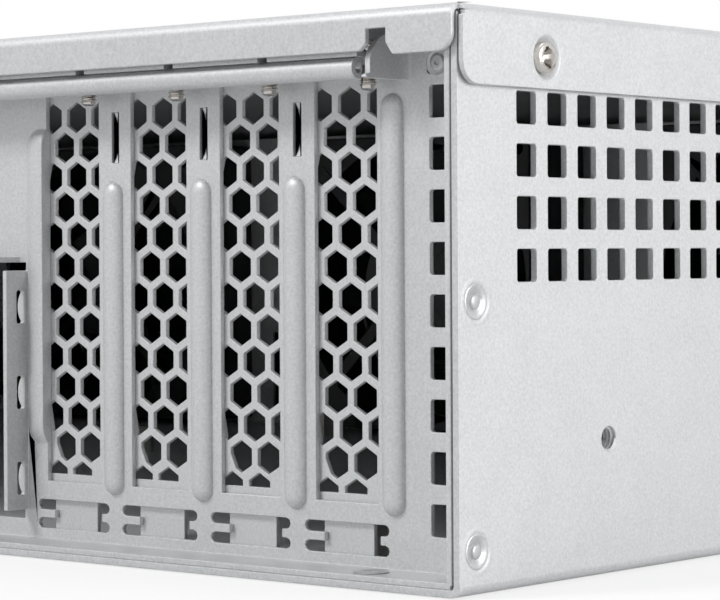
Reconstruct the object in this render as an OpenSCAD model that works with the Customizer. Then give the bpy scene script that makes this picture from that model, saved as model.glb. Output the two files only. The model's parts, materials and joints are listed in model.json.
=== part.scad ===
// Two-unit rackmount server case with eight drive trays and four low-profile card slots.
// The origin is at the middle of the underside, +Z is up, and the rear faces +Y.
// Places on the rear count from the left wall (seen from above, front down): "across" along X,
// "inward" from the rear edge towards the front, and Z for height.

/* [Case] */
// Width over the two side walls
body_w = 430; // [425:1:440]
// Height of the case
body_h = 88; // [86:0.5:90]
// Depth from the front face to the rear edge of the lid
body_d = 500; // [460:1:600]
// Thickness of the pan's sheet steel
wall_t = 1.2; // [1:0.1:1.5]
// Outer radius of the folded edges
bend_r = 1.8; // [1.6:0.1:2.2]

/* [Lid] */
// Thickness of the lid's sheet steel
lid_t = 1; // [0.8:0.1:1.2]
// Height of the lid's side flanges
lid_side_h = 12; // [10:0.5:13]
// Height of the lid's rear flange
lid_rear_h = 6.4; // [5:0.2:6.6]
// Clearance between the lid and what it slides over
lid_gap = 0.3; // [0.2:0.05:0.4]
// Distance from the rear edge to the first lid screw
lid_screw_in = 22.2; // [20:0.2:30]

/* [Rear panel] */
// Depth of the rear panel behind the lid's rear flange
rear_recess = 10; // [9:0.5:12]
// Thickness of the rear panel
panel_t = 1; // [0.8:0.1:1.2]
// Width of the connector opening
io_w = 158.75; // [150:0.25:160]
// Height of the connector opening
io_h = 44.45; // [40:0.05:46]
// Distance from the connector opening to the power supply opening
psu_gap = 62.25; // [60:0.25:70]
// Distance from the power supply opening to the right wall's outside
psu_margin = 11; // [10:0.5:16]

/* [Card slots] */
// Distance between neighbouring card slots
slot_pitch = 20.32; // [20.32:0.01:20.4]
// Width of a card slot
slot_w = 12.75; // [11:0.25:13]
// Place of the first card slot's middle across the rear
slot_first = 28.85; // [28.5:0.05:30]
// Width of a slot cover
cover_w = 18.42; // [17:0.02:18.6]
// Thickness of a slot cover
cover_t = 0.9; // [0.8:0.1:1]
// Size of a hexagonal hole across its flats
hex_af = 4.6; // [3.5:0.1:4.8]
// Distance between neighbouring hexagonal holes
hex_pitch = 5.92; // [5.8:0.02:6]

/* [Vents] */
// Side of a square vent hole
vent_w = 5; // [4:0.1:5.5]
// Distance between neighbouring vent holes
vent_pitch = 8; // [7.5:0.1:8.2]
// Corner radius of a vent hole
vent_r = 0.4; // [0.3:0.1:1]
// Columns of vent holes in each side wall
vent_columns = 14; // [4:1:18]

/* [Front] */
// Thickness of the front frame
front_t = 1.5; // [1.2:0.1:2]
// How far a rack ear stands out from the side wall
ear_w = 26.3; // [25:0.1:27]
// Thickness of a rack ear
ear_t = 2.5; // [2:0.1:3]
// Length of a rack ear along the side wall
ear_leg = 40; // [36:1:60]
// How far the handles stand out from the front
handle_reach = 35; // [30:1:45]
// Radius of the handle bar
handle_r = 4.5; // [4:0.1:5]
// Distance from an ear's outer edge to the middle of its rack slots
rack_slot_in = 8.75; // [8:0.05:9.5]
// Distance from the ends of an ear to the middle of its rack slots
rack_slot_drop = 5.9; // [5.9:0.1:9]
// Height of the front strip above the drive trays
strip_h = 30; // [29:0.5:33]

/* [Drive trays] */
// Distance from a side wall's outside to the drive cage
cage_margin = 4; // [4:0.25:8]
// Width left between the trays of neighbouring columns
column_gap = 3.1; // [3:0.1:4]
// Height left between the trays of neighbouring rows
tray_gap = 0.8; // [0.8:0.1:1.2]
// Length left between a tray and the backplane
tray_rear_gap = 16.5; // [16:0.5:30]
// Depth of the cable space between the backplane and the fan wall
cable_bay_d = 48.5; // [30:0.5:70]

/* [Fans] */
// Distance from the rear edge to the fan wall
main_bay_d = 285; // [280:1:300]
// Distance from a side wall's outside to the outer fans' share of the wall
fan_margin = 35; // [15:1:50]
// Height of the case that a fan leaves free
fan_clear = 8; // [7:0.5:20]
// Depth of a fan frame
fan_d = 25; // [25:1:32]
// Blades on each fan rotor
fan_blades = 7; // [5:1:9]

/* [Hidden] */

$fn = 48;
// Overrun of every cut past the face it opens
over = 1;
// Gap between pieces of one body that lie side by side
fit_gap = 0.3;

// Colours
galvanised = "#C4C6CA";
nickel = "#D9D6D2";
black_paint = "#1E1F21";
black_plastic = "#26272A";
grey_plastic = "#4A4C50";
aluminium = "#B9BBBE";
board_green = "#1F5B3A";

// Main planes
rear_y = (body_d + handle_reach) / 2;
front_y = rear_y - body_d;
half_w = body_w / 2;
lid_under = body_h - lid_t;
wall_top = lid_under - fit_gap;
wall_end = lid_t + lid_gap;
pan_front = front_y + front_t;
lid_front = front_y + max(front_t, ear_t) + fit_gap;
fan_y = inward(main_bay_d);
cage_back = fan_y - cable_bay_d;

// Place across the rear, and place inward from the rear edge
function across(s) = s - half_w;
function inward(u) = rear_y - u;

// Outlines
function joined(lists) = [for (list = lists) for (item = list) item];

function arc(c, r, a0, a1, n) = [for (i = [0:n]) c + r * [cos(a0 + (a1 - a0) * i / n), sin(a0 + (a1 - a0) * i / n)]];

corner_steps = 2;
bend_steps = 8;

function round_rect(c, w, h, r) = joined([for (q = [0:3]) arc(
    c + [(w / 2 - r) * (q == 0 || q == 3 ? 1 : -1), (h / 2 - r) * (q < 2 ? 1 : -1)],
    r, 90 * q, 90 * (q + 1), corner_steps)]);

function rect(x0, z0, x1, z1) = [[x0, z0], [x1, z0], [x1, z1], [x0, z1]];

// Outline of a plate that stands on the floor between the walls and clears the floor's inner bends
function standing(half, z1) = [[-half, bend_r], [-half + bend_r - wall_t, wall_t], [half - bend_r + wall_t, wall_t],
    [half, bend_r], [half, z1], [-half, z1]];

function hexagon(c, flats) = [for (i = [0:5]) c + flats / 2 / cos(30) * [sin(60 * i), cos(60 * i)]];

// The part of a convex outline that lies left of the line from a to b
function clip_edge(p, a, b) = [for (i = [0:len(p) - 1])
    let (q = p[i], r = p[(i + 1) % len(p)], sq = cross(b - a, q - a), sr = cross(b - a, r - a))
    each concat(sq >= 0 ? [q] : [], (sq >= 0) != (sr >= 0) ? [q + (r - q) * sq / (sq - sr)] : [])];

// The part of a convex outline that lies inside a convex envelope
function clip(p, envelope, i = 0) = i == len(envelope) || len(p) == 0 ? p
    : clip(clip_edge(p, envelope[i], envelope[(i + 1) % len(envelope)]), envelope, i + 1);

// A flat outline with any number of holes in it
module pierced(outline, holes) {
    loops = concat([outline], holes);
    starts = [for (i = 0, n = 0; i < len(loops); n = n + len(loops[i]), i = i + 1) n];
    polygon(joined(loops), [for (i = [0:len(loops) - 1]) [for (j = [0:len(loops[i]) - 1]) starts[i] + j]]);
}

// A plate that stands across the case, from depth y0 for a thickness t
module cross_plate(y0, t) {
    translate([0, y0 + t, 0])
        rotate([90, 0, 0])
            linear_extrude(t)
                children();
}

// A plate that stands along the case, from place x0 for a thickness t
module side_plate(x0, t) {
    translate([x0, 0, 0])
        rotate([90, 0, 90])
            linear_extrude(t)
                children();
}

module block(x0, y0, z0, x1, y1, z1) {
    translate([x0, y0, z0])
        cube([x1 - x0, y1 - y0, z1 - z0]);
}

// Round bars along the three axes, from a start point
module bar_x(p, r, l) {
    translate(p)
        rotate([0, 90, 0])
            cylinder(r = r, h = l);
}

module bar_y(p, r, l) {
    translate(p)
        rotate([-90, 0, 0])
            cylinder(r = r, h = l);
}

module bar_z(p, r, l) {
    translate(p)
        cylinder(r = r, h = l);
}

module both_sides() {
    children();
    mirror([1, 0, 0])
        children();
}

// Chassis pan

// Height at which the bent floor edge meets the flat wall
bend_h = 3;
// First vent column inward from the rear edge, and the foot of the lowest vent row
vent_in = 16.1;
vent_rows = 4;
// Distance from the top of the case to the foot of the highest vent row
vent_drop = 17.4;
vent_low = body_h - vent_drop - (vent_rows - 1) * vent_pitch;
rail_hole_r = 2;
rail_hole_in = 40.2;
rail_hole_z = 21.5;
rail_hole_step = 180;
rail_holes = 3;
return_w = 6;
// Distances from the fan wall to the middle lid screws and from the front face to the last ones
lid_screw_clear = 46.7;
lid_screw_last = 45.6;
lid_screw_ins = [lid_screw_in, main_bay_d - lid_screw_clear, body_d - lid_screw_last];
lid_screws_a_side = len(lid_screw_ins);
lid_screw_drop = 7.2;
lid_screw_z = body_h - lid_screw_drop;
dimple_r = 3.5;
dimple_deep = 1;
notch_gap = 0.7;
notch_w = 2 * (dimple_r + notch_gap);
rivet_r = 1.6;
rivet_head_r = 2.8;
rivet_in = 5.7;
rivet_zs = [6.6, 43.75];
flange_gap = 0.3;
ledge_rivets = 4;
ledge_rivet_first = 19.9;
ledge_rivet_in = 5;
ledge_rivet_step = (body_w - 2 * ledge_rivet_first) / (ledge_rivets - 1);
ear_screw_r = 2;
ear_leg_foot = 6;
ear_leg_drop = 14;
ear_leg_head = body_h - ear_leg_drop;
ear_screw_margin = 8;
ear_screw_zs = [ear_leg_foot + ear_screw_margin, (ear_leg_foot + ear_leg_head) / 2, ear_leg_head - ear_screw_margin];
ear_screw_in = 24;

function lid_screw_y(i) = inward(lid_screw_ins[i]);
function rail_hole_y(i) = inward(rail_hole_in + i * rail_hole_step);
function ledge_rivet_x(i) = across(ledge_rivet_first + i * ledge_rivet_step);
ear_screw_y = front_y + ear_screw_in;

wall_vents = [for (c = [0:vent_columns - 1]) for (r = [0:vent_rows - 1]) round_rect(
    [inward(vent_in + c * vent_pitch + vent_w / 2), vent_low + r * vent_pitch + vent_w / 2],
    vent_w, vent_w, vent_r)];

floor_outline = concat(
    [[-half_w, bend_h]],
    arc([-half_w + bend_r, bend_r], bend_r, 180, 270, bend_steps),
    arc([half_w - bend_r, bend_r], bend_r, 270, 360, bend_steps),
    [[half_w, bend_h], [half_w - wall_t, bend_h]],
    arc([half_w - bend_r, bend_r], bend_r - wall_t, 360, 270, bend_steps),
    arc([-half_w + bend_r, bend_r], bend_r - wall_t, 270, 180, bend_steps),
    [[-half_w + wall_t, bend_h]]);

module pan_wall() {
    difference() {
        union() {
            side_plate(-half_w, wall_t)
                pierced(rect(pan_front, bend_h, inward(wall_end), wall_top), wall_vents);
            block(-half_w, front_y + front_flange + fit_gap, wall_top - wall_t, -half_w + return_w,
                panel_y - fit_gap, wall_top);
        }
        for (i = [0:lid_screws_a_side - 1])
            block(-half_w - over, lid_screw_y(i) - notch_w / 2, body_h - lid_side_h + fit_gap,
                -half_w + return_w + over, lid_screw_y(i) + notch_w / 2, body_h);
        for (i = [0:rail_holes - 1])
            bar_x([-half_w - over, rail_hole_y(i), rail_hole_z], rail_hole_r, wall_t + 2 * over);
        for (z = rivet_zs)
            translate([-half_w, inward(rivet_in), z])
                rotate([0, 90, 0])
                    cylinder(r1 = rivet_head_r, r2 = rivet_r, h = wall_t);
        for (z = ear_screw_zs)
            bar_x([-half_w - over, ear_screw_y, z], ear_screw_r, wall_t + 2 * over);
    }
}

module chassis_pan() {
    color(galvanised)
        union() {
            difference() {
                cross_plate(pan_front, inward(wall_end) - pan_front)
                    polygon(floor_outline);
                for (i = [0:ledge_rivets - 1])
                    bar_z([ledge_rivet_x(i), inward(ledge_rivet_in), -over], rivet_r, wall_t + 2 * over);
            }
            both_sides()
                pan_wall();
        }
}

// Rear panel

panel_y = inward(rear_recess + panel_t);
panel_side = wall_t + flange_gap;
panel_low = wall_t;
shelf_drop = 7;
shelf_top = body_h - shelf_drop;
shelf_end = 268;
shelf_start = 16.6;
corner_top = wall_top - fit_gap;
roll_r = 1.7;
roll_in = 3;
roll_start = 20.2;
// How far down the roll stays open, as a share of its radius
roll_open_share = 1.5;
slots = 4;
slot_foot = 12.15;
slot_head_drop = 2.6;
slot_head = shelf_top - slot_head_drop;
io_first = 102;
io_foot = 5.35;
io_flange = 5;
io_tab_zs = [12.4, 27.3, 42.1];
io_tab_h = 5.8;
io_tab_w = 1.7;
io_flange_foot = 7;
io_flange_drop = 1.4;
io_flange_head = io_foot + io_h - io_flange_drop;
io_notch_w = 2;
psu_first = io_first + io_w + psu_gap;
psu_foot = 7;
psu_clear = 4;
psu_w = body_w - psu_margin - psu_first;
psu_h = shelf_top - psu_clear - psu_foot;
psu_hole_r = 1.8;
psu_hole_margin = 4.4;
psu_hole_z_share = 0.78;
column_in = 7.1;
column_foot = 7.7;
column_rows = floor((shelf_top - column_foot) / vent_pitch);
far_columns = 5;
far_gap = 12.25;
far_first = io_first + io_w + far_gap;
high_columns = 15;
high_first = 122;
high_gap = 5.9;
high_foot = io_foot + io_h + high_gap;
high_clear = 5;
high_rows = floor((shelf_top - high_clear - high_foot) / vent_pitch);
rib_w = 4.2;
rib_high = 1.3;
rib_first = 19.3;
rib_drop = 17.7;
rib_head = shelf_top - rib_drop;
rib_foot = 10.6;
rib_first_drop = 5.4;
rib_first_head = shelf_top - rib_first_drop;
rib_gap_middle = 39.45;
lip_w = 7;
lip_middle = 97.5;
lip_foot = 18.45;
lip_drop = 8.1;
lip_head = shelf_top - lip_drop;
lip_relief = 1.1;
lance_w = 1.7;
lance_h = 8.6;
lance_drop = 10.2;
lance_z = shelf_top - lance_drop;
lance_strip = 0.9;
lance_high = 1.4;
lance_root = 0.5;
lance_across = 38.85;
window_w = 17.3;
window_z = 6.47;
window_h = 4.94;
window_shift = 0.2;
tongue_h = 1.4;
long_tongue = 4.2;
short_tongue = 1.8;
hook_t = 1.1;
// Hook plate at the shelf's near end: its top, how far it rises over the shelf, and how far in it starts
hook_drop = 3.4;
hook_top = body_h - hook_drop;
hook_root = 3.4;
hook_foot = shelf_top - hook_root;
hook_in = 0.4;
hook_deep = rear_recess - hook_in;
hook_h = hook_top - hook_foot;
// Its edge as shares of its depth and of its height
hook_shares = [[1, 0], [0.02, 0], [0, 0.03], [0.02, 0.08], [0.1, 0.11], [0.1, 0.41], [0.13, 0.56],
    [0.27, 0.79], [0.4, 0.93], [0.5, 1], [1, 1]];
hook_fillet = 3.4;
relief_r = 0.7;
relief_across = 11.9;
relief_drop = 1.9;
relief_z = shelf_top - relief_drop;

function slot_x(k) = across(slot_first + k * slot_pitch);

slot_holes = [for (k = [0:slots - 1]) rect(slot_x(k) - slot_w / 2, slot_foot, slot_x(k) + slot_w / 2, slot_head)];

lobe_r = (window_h - tongue_h) / 4;

// Window under a slot: two rounded lobes at each end, a long tongue at one end and a short one at the other
function window_outline(x) = let (
    e = window_w / 2 - lobe_r, c = tongue_h / 2 + lobe_r, t = tongue_h / 2,
    long_end = window_w / 2 - long_tongue, short_end = -window_w / 2 + short_tongue)
    concat(
        arc([x + e, window_z + c], lobe_r, 90, -90, corner_steps * 2),
        [[x + long_end, window_z + t], [x + long_end, window_z - t]],
        arc([x + e, window_z - c], lobe_r, 90, -90, corner_steps * 2),
        arc([x - e, window_z - c], lobe_r, 270, 90, corner_steps * 2),
        [[x + short_end, window_z - t], [x + short_end, window_z + t]],
        arc([x - e, window_z + c], lobe_r, 270, 90, corner_steps * 2));

column_vents = [for (r = [0:column_rows - 1]) for (x = concat([column_in], [for (c = [0:far_columns - 1])
    far_first + c * vent_pitch])) round_rect(
    [across(x + vent_w / 2), column_foot + r * vent_pitch + vent_w / 2], vent_w, vent_w, vent_r)];

high_vents = [for (r = [0:1:high_rows - 1]) for (c = [0:high_columns - 1]) round_rect(
    [across(high_first + c * vent_pitch + vent_w / 2), high_foot + r * vent_pitch + vent_w / 2],
    vent_w, vent_w, vent_r)];

io_x = across(io_first);
psu_x = across(psu_first);
psu_hole_z = psu_h * psu_hole_z_share;

io_outline = [[io_x, io_foot], [io_x + io_w, io_foot], [io_x + io_w, io_foot + io_h],
    [io_x - panel_t / 2, io_foot + io_h], [io_x - panel_t / 2, io_flange_head], [io_x, io_flange_head]];

panel_outline = [
    [across(panel_side), bend_r], [across(panel_side) + bend_r - wall_t, panel_low],
    [-across(panel_side) - bend_r + wall_t, panel_low], [-across(panel_side), bend_r],
    [-across(panel_side), corner_top], [across(shelf_end), corner_top],
    [across(shelf_end), shelf_top], [across(shelf_start) + hook_t, shelf_top],
    [across(shelf_start) + hook_t, corner_top], [across(panel_side), corner_top]];

// Rounded rib standing out of the panel between two heights
module rib(x, z0, z1, w, high) {
    r = (w * w / 4 + high * high) / (2 * high);
    y = inward(rear_recess) + high - r;
    intersection() {
        union() {
            bar_z([x, y, z0 + w / 2], r, z1 - z0 - w);
            for (z = [z0 + w / 2, z1 - w / 2])
                translate([x, y, z])
                    sphere(r = r);
        }
        block(x - w / 2, panel_y + panel_t / 2, z0, x + w / 2, inward(rear_recess - 2 * high), z1);
    }
}

// Bowed strip pushed inwards over a lanced slit
module lance(x) {
    chord = lance_h + 2 * lance_root;
    r = (chord * chord / 4 + lance_high * lance_high) / (2 * lance_high);
    a = asin(chord / 2 / r);
    c = [panel_y - lance_high + r, lance_z];
    side_plate(x - lance_strip / 2, lance_strip)
        polygon(concat(arc(c, r, 180 - a, 180 + a, bend_steps), arc(c, r - panel_t, 180 + a, 180 - a, bend_steps)));
}

// Curled front edge of the shelf
module shelf_roll() {
    length = across(shelf_end) - across(roll_start);
    difference() {
        bar_x([across(roll_start), inward(roll_in), shelf_top - roll_r], roll_r, length);
        bar_x([across(roll_start) - over, inward(roll_in), shelf_top - roll_r], roll_r - panel_t, length + 2 * over);
        block(across(roll_start) - over, inward(roll_in + roll_r + over), shelf_top - roll_r,
            across(shelf_end) + over, inward(roll_in), shelf_top + over);
        block(across(roll_start) - over, inward(roll_in + roll_r + over), shelf_top - roll_open_share * roll_r,
            across(shelf_end) + over, inward(roll_in + roll_r - panel_t), shelf_top + over);
    }
}

module rear_panel() {
    color(galvanised)
        difference() {
            union() {
                cross_plate(panel_y, panel_t)
                    pierced(panel_outline, concat(slot_holes, [io_outline],
                        [rect(psu_x, psu_foot, psu_x + psu_w, psu_foot + psu_h)],
                        column_vents, high_vents,
                        [for (k = [0:slots - 1]) window_outline(slot_x(k) + window_shift)],
                        [for (k = [0:slots - 2]) rect(
                            across(lance_across + k * slot_pitch) - lance_w / 2, lance_z - lance_h / 2,
                            across(lance_across + k * slot_pitch) + lance_w / 2, lance_z + lance_h / 2)]));
                both_sides()
                    block(across(panel_side), panel_y, bend_r, across(panel_side) + panel_t,
                        inward(wall_end), corner_top);
                block(across(bend_r), panel_y, panel_low, -across(bend_r),
                    inward(wall_end), panel_low + panel_t);
                block(across(shelf_start), panel_y, shelf_top - panel_t, across(shelf_end),
                    inward(roll_in + roll_r), shelf_top);
                block(across(roll_start), inward(roll_in + roll_r), shelf_top - panel_t,
                    across(shelf_end), inward(roll_in), shelf_top);
                shelf_roll();
                side_plate(across(shelf_start), hook_t)
                    polygon([for (p = hook_shares) [inward(hook_in + p[0] * hook_deep), hook_foot + p[1] * hook_h]]);
                difference() {
                    block(across(shelf_start - hook_fillet), panel_y, hook_foot, across(shelf_start),
                        panel_y + hook_fillet, hook_top);
                    bar_z([across(shelf_start - hook_fillet), panel_y + hook_fillet, hook_foot - over], hook_fillet,
                        hook_h + 2 * over);
                }
                rib(across(rib_first), rib_foot, rib_first_head, rib_w, rib_high);
                for (k = [0:slots - 2]) {
                    rib(across(rib_gap_middle + k * slot_pitch), rib_foot, rib_head, rib_w, rib_high);
                    lance(across(lance_across + k * slot_pitch));
                }
                intersection() {
                    rib(across(lip_middle), lip_foot, lip_head, lip_w, rib_high);
                    block(slot_x(slots - 1) + slot_w / 2, panel_y, 0, across(lip_middle + lip_w), rear_y, body_h);
                }
                side_plate(io_x - panel_t, panel_t)
                    pierced(rect(panel_y, io_flange_foot, inward(rear_recess - io_flange), io_flange_head),
                        [for (z = io_tab_zs) round_rect([inward(rear_recess - io_tab_w), z],
                            io_tab_w, io_tab_h, vent_r)]);
                block(io_x + io_notch_w / 2, panel_y, io_foot + io_h, io_x + io_w,
                    inward(rear_recess - io_flange), io_foot + io_h + panel_t);
                for (z = io_tab_zs)
                    cross_plate(panel_y, panel_t)
                        polygon([for (a = [-90:15:90]) [io_x + io_tab_w * cos(a), z + io_tab_h / 2 * sin(a)]]);
            }
            for (x = [psu_x - psu_hole_margin, psu_x + psu_w + psu_hole_margin])
                for (z = [-psu_hole_z, psu_hole_z])
                    bar_y([x, panel_y - over, psu_foot + psu_h / 2 + z / 2], psu_hole_r, panel_t + 2 * over);
            for (z = rivet_zs)
                for (x = [across(panel_side) - over, -across(panel_side) - panel_t - over])
                    bar_x([x, inward(rivet_in), z], rivet_r, panel_t + 2 * over);
            for (i = [0:ledge_rivets - 1])
                bar_z([ledge_rivet_x(i), inward(ledge_rivet_in), panel_low - over], rivet_r, panel_t + 2 * over);
            for (k = [0:slots - 1])
                bar_z([slot_x(k) - slot_screw_shift, inward(slot_screw_in), shelf_top - roll_r * 2], slot_screw_r,
                    roll_r * 3);
            bar_y([across(relief_across), panel_y - over, relief_z], relief_r, panel_t + 2 * over);
        }
}

// Slot covers

slot_screw_shift = 7.6;
slot_screw_in = 6.6;
slot_screw_r = 1.4;
slot_screw_head_r = 2.7;
slot_screw_head_h = 1.9;
slot_screw_drop = 4.9;
slot_screw_tip = shelf_top - slot_screw_drop;
cover_foot = 3.4;
tang_w = 10.2;
tang_top = 10;
tang_shift = 0.45;
cover_shoulder = 15;
cover_tab_in = 1.9;
hex_drop = 6.4;
hex_top = shelf_top - hex_drop;
row_pitch = hex_pitch * sin(60);
// Outline around the holes: its foot and head, half its width, and its corners as shares of those
field_foot = 13.4;
field_drop = 8.7;
field_head = shelf_top - field_drop;
hex_rows = ceil((hex_top - field_foot) / row_pitch) + 1;
field_half_w = 8.3;
field_shares = [[-0.36, 0], [0.6, 0], [0.77, 0.129], [1, 0.197], [1, 0.825], [0.795, 0.91], [0.64, 1],
    [-0.64, 1], [-0.795, 0.91], [-1, 0.825], [-1, 0.197], [-0.77, 0.068]];
hex_field = [for (p = field_shares) [p[0] * field_half_w, field_foot + p[1] * (field_head - field_foot)]];
least_hole = 0.5;

// The lowest row is cut off at the foot and stands a little to one side
foot_row = hex_rows - 1;
foot_row_shift = -0.98;
foot_field = [[-cover_w / 2, field_foot], [cover_w / 2, field_foot], [cover_w / 2, field_head], [-cover_w / 2, field_head]];

// Places of the holes in a row, as shares of their pitch
function row_shares(i) = i == foot_row ? [0, 1] : i % 2 == 0 ? [-1, 0, 1] : [-0.5, 0.5];
function span(p) = max([for (q = p) q[0]]) - min([for (q = p) q[0]]);

cover_holes = [for (i = [0:hex_rows - 1]) for (j = row_shares(i))
    let (shift = i == foot_row ? foot_row_shift : 0,
        whole = hexagon([j * hex_pitch + shift, hex_top - i * row_pitch], hex_af),
        h = i == 0 ? whole : clip(whole, i == foot_row ? foot_field : hex_field))
    if (len(h) > 2 && span(h) > least_hole) h];

cover_outline = [[tang_shift - tang_w / 2, cover_foot], [tang_shift + tang_w / 2, cover_foot],
    [tang_shift + tang_w / 2, tang_top], [cover_w / 2, cover_shoulder],
    [cover_w / 2, shelf_top + cover_t], [-cover_w / 2, shelf_top + cover_t],
    [-cover_w / 2, cover_shoulder], [tang_shift - tang_w / 2, tang_top]];

module slot_cover(k) {
    color(galvanised)
        translate([slot_x(k), 0, 0])
            difference() {
                union() {
                    cross_plate(panel_y - cover_t, cover_t)
                        pierced(cover_outline, cover_holes);
                    block(-cover_w / 2, panel_y - cover_t, shelf_top, cover_w / 2, inward(cover_tab_in),
                        shelf_top + cover_t);
                }
                bar_z([-slot_screw_shift, inward(slot_screw_in), shelf_top - over], slot_screw_r, cover_t + 2 * over);
            }
}

// Cross recess in a screw head, from its top downwards
recess_w = 0.6;
recess_deep = 0.9;
module cross_recess(r) {
    for (a = [0, 90])
        rotate([0, 0, a])
            translate([-r, -recess_w / 2, -recess_deep])
                cube([2 * r, recess_w, recess_deep + over]);
}

module slot_screws() {
    color(nickel)
        for (k = [0:slots - 1])
            translate([slot_x(k) - slot_screw_shift, inward(slot_screw_in), shelf_top + cover_t])
                difference() {
                    union() {
                        cylinder(r = slot_screw_head_r, h = slot_screw_head_h);
                        translate([0, 0, slot_screw_tip - shelf_top - cover_t])
                            cylinder(r = slot_screw_r, h = shelf_top + cover_t - slot_screw_tip);
                    }
                    translate([0, 0, slot_screw_head_h])
                        cross_recess(slot_screw_head_r * 2 / 3);
                }
}

// Rivets in the side walls and in the rear ledge
rivet_grip = 0.6;
rivet_inner_r = 2.3;
module panel_rivets() {
    color(galvanised) {
        for (z = rivet_zs)
            both_sides()
                translate([-half_w, inward(rivet_in), z])
                    rotate([0, 90, 0]) {
                        cylinder(r1 = rivet_head_r, r2 = rivet_r, h = wall_t);
                        translate([0, 0, wall_t])
                            cylinder(r = rivet_r, h = flange_gap + panel_t);
                        translate([0, 0, wall_t + flange_gap + panel_t])
                            cylinder(r = rivet_inner_r, h = rivet_grip);
                    }
        for (i = [0:ledge_rivets - 1]) {
            bar_z([ledge_rivet_x(i), inward(ledge_rivet_in), 0], rivet_r, panel_low + panel_t);
            bar_z([ledge_rivet_x(i), inward(ledge_rivet_in), panel_low + panel_t], rivet_head_r, rivet_grip / 2);
        }
    }
}

// Lid

lid_half = half_w + lid_gap + lid_t;
lid_inner_r = bend_r - lid_t;
side_flange_in = 1.2;
side_relief_r = 3.5;
rear_edge_gap = 0.1;
rear_relief_r = 2.6;
rear_end_drop = 0.75;
rear_end_at = 11.3;
hook_notch_from = 12.6;
hook_notch_to = 16.4;
hook_notch_drop = 3.1;
hook_notch_top = body_h - hook_notch_drop;
hook_notch_flare = 1.2;
hook_notch_flare_h = 1.1;
rear_foot = body_h - lid_rear_h;
side_foot = body_h - lid_side_h;

lid_outline = concat(
    arc([lid_half - bend_r, body_h - bend_r], bend_r, 0, 90, bend_steps),
    arc([-lid_half + bend_r, body_h - bend_r], bend_r, 90, 180, bend_steps),
    arc([-lid_half + bend_r, body_h - bend_r], lid_inner_r, 180, 90, bend_steps),
    arc([lid_half - bend_r, body_h - bend_r], lid_inner_r, 90, 0, bend_steps));

rear_bend_outline = concat(
    arc([inward(bend_r), body_h - bend_r], bend_r, 0, 90, bend_steps),
    arc([inward(bend_r), body_h - bend_r], lid_inner_r, 90, 0, bend_steps));

rear_flange_outline = concat(
    [[across(rear_edge_gap), body_h - bend_r]],
    arc([across(rear_edge_gap + rear_relief_r), rear_foot - rear_end_drop + rear_relief_r],
        rear_relief_r, 180, 270, corner_steps * 2),
    [[across(rear_end_at), rear_foot - rear_end_drop],
        [across(hook_notch_from), rear_foot + hook_notch_flare_h],
        [across(hook_notch_from), hook_notch_top], [across(hook_notch_to), hook_notch_top],
        [across(hook_notch_to), rear_foot + hook_notch_flare_h],
        [across(hook_notch_to + hook_notch_flare), rear_foot]],
    arc([-across(rear_edge_gap + rear_relief_r), rear_foot + rear_relief_r], rear_relief_r, 270, 360,
        corner_steps * 2),
    [[-across(rear_edge_gap), body_h - bend_r]]);

side_flange_outline = concat(
    [[lid_front, body_h - bend_r], [lid_front, side_foot]],
    arc([inward(side_flange_in + side_relief_r), side_foot + side_relief_r], side_relief_r, 270, 360,
        corner_steps * 2),
    [[inward(side_flange_in), body_h - bend_r]]);

module lid() {
    color(galvanised)
        difference() {
            union() {
                cross_plate(lid_front, inward(bend_r) - lid_front)
                    polygon(lid_outline);
                side_plate(across(rear_edge_gap), body_w - 2 * rear_edge_gap)
                    polygon(rear_bend_outline);
                cross_plate(inward(lid_t), lid_t)
                    polygon(rear_flange_outline);
                both_sides() {
                    side_plate(-lid_half, lid_t)
                        polygon(side_flange_outline);
                    for (i = [0:lid_screws_a_side - 1])
                        bar_x([-half_w - lid_gap, lid_screw_y(i), lid_screw_z], dimple_r, dimple_deep);
                }
            }
            both_sides()
                for (i = [0:lid_screws_a_side - 1]) {
                    translate([-lid_half, lid_screw_y(i), lid_screw_z])
                        rotate([0, 90, 0])
                            cylinder(r1 = dimple_r, r2 = dimple_r - dimple_deep, h = dimple_deep);
                    bar_x([-lid_half, lid_screw_y(i), lid_screw_z], lid_screw_r, lid_t + lid_gap + dimple_deep + over);
                }
        }
}

lid_screw_r = 1.5;
lid_screw_len = 5;
lid_screw_head_r = 2.5;
lid_screw_head_h = 1.3;
module lid_screws() {
    color(nickel)
        both_sides()
            for (i = [0:lid_screws_a_side - 1])
                translate([-lid_half + dimple_deep, lid_screw_y(i), lid_screw_z])
                    rotate([0, -90, 0])
                        difference() {
                            union() {
                                translate([0, 0, -lid_screw_len])
                                    cylinder(r = lid_screw_r, h = lid_screw_len);
                                cylinder(r1 = lid_screw_head_r, r2 = lid_screw_head_r * 0.9, h = lid_screw_head_h);
                            }
                            translate([0, 0, lid_screw_head_h])
                                cross_recess(lid_screw_head_r * 2 / 3);
                        }
}

// Rack ears and handles

ear_out = half_w + ear_w;
rack_slot_at = ear_out - rack_slot_in;
rack_slot_r = 3.4;
rack_slot_l = 10.3;
handle_out = 11.5;
handle_x = half_w + handle_out;
handle_drop = 18;
handle_span = body_h - 2 * handle_drop;
handle_bend = 10;
handle_screw_r = 2;
handle_screw_deep = 9;
handle_screw_head_r = 3.6;
handle_screw_head_h = 2.2;
ear_screw_head_r = 3.8;
mid_z = body_h / 2;

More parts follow.
